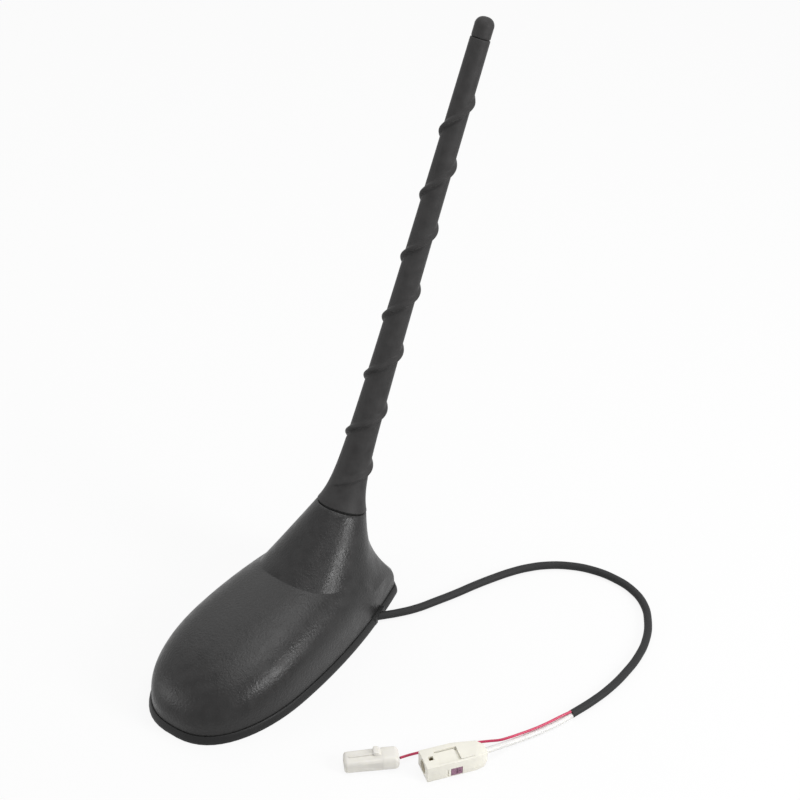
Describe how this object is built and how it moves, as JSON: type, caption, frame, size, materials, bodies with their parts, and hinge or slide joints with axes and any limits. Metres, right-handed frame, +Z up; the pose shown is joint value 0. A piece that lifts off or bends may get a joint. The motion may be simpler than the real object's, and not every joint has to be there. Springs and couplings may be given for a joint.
{
  "type": "car mast aerial",
  "caption": "Roof aerial with a moulded base, raked pylon and seal, a screw-in flexible mast with a helical ridge, and a sleeved lead to a coaxial connector and a power plug.",
  "frame": {"origin": "centre of the fixing thread's mouth, on the underside of the base seal", "axes": "+Z up from the roof, +X towards the rear of the car, +Y to the right of the car"},
  "size_m": [0.2296, 0.1736, 0.2635],
  "materials": {
    "housing_plastic": "finely textured black moulded plastic",
    "seal_rubber": "smooth matt black rubber",
    "cast_plate": "as-cast alloy",
    "zinc_steel": "zinc plated",
    "board_laminate": "green solder mask",
    "tinned_steel": "tinned sheet",
    "filter_ceramic": "matt ceramic",
    "capacitor_can": "sleeved can",
    "brass_parts": "turned",
    "contact_bronze": "rolled strip",
    "glass_fibre": "glass-fibre rod",
    "copper_wire": "close-wound copper wire",
    "mast_rubber": "satin black rubber",
    "sleeve_vinyl": "satin black sleeving",
    "white_jacket": "semi-gloss white jacket",
    "red_jacket": "semi-gloss red jacket",
    "cream_nylon": "satin cream moulding",
    "gold_plate": "plated contact",
    "white_insulator": "white insulator",
    "plum_nylon": "satin plum moulding",
    "white_nylon": "translucent white moulding"
  },
  "bodies": {
    "base": {"housing": "housing_plastic", "base_seal": "seal_rubber", "base_plate": "cast_plate", "cover_screws": "zinc_steel", "circuit_board": "board_laminate", "board_screws": "zinc_steel", "screening_can": "tinned_steel", "signal_filter": "filter_ceramic", "board_capacitors": "capacitor_can", "mast_socket": "brass_parts", "socket_contact": "contact_bronze", "cable_grommet": "seal_rubber", "cable_sleeve": "sleeve_vinyl", "coax_lead": "white_jacket", "power_lead": "red_jacket", "coax_connector_housing": "cream_nylon", "coax_contact_barrel": "gold_plate", "coax_insulator": "white_insulator", "coax_centre_pin": "gold_plate", "coax_crimp_ferrule": "tinned_steel", "power_plug_housing": "white_nylon", "power_plug_terminal": "gold_plate"},
    "mast_seal": {"seam_ring": "seal_rubber"},
    "mast": {"mast_stud": "brass_parts", "mast_core": "glass_fibre", "mast_winding": "copper_wire", "mast_sleeve": "mast_rubber", "mast_tip_cap": "mast_rubber"},
    "contact_lock": {"contact_lock": "plum_nylon"}
  },
  "joints": [
    {"name": "mast_rise", "type": "slide", "parent": "base", "child": "mast_seal", "axis": [0.4509, 0, 0.8926], "range_m": [0, 0.0088]},
    {"name": "mast_turn", "type": "hinge", "parent": "mast_seal", "child": "mast", "pos_m": [0.0472, 0, 0.0535], "axis": [0.4509, 0, 0.8926], "range_deg": [0, 3600]},
    {"name": "contact_lock_slide", "type": "slide", "parent": "base", "child": "contact_lock", "axis": [-0.5446, -0.8387, 0], "range_m": [0, 0.0015]}
  ],
  "couplings": [
    {"joint": "mast_rise", "follows": "mast_turn", "m_per_rad": 0.00012732}
  ]
}
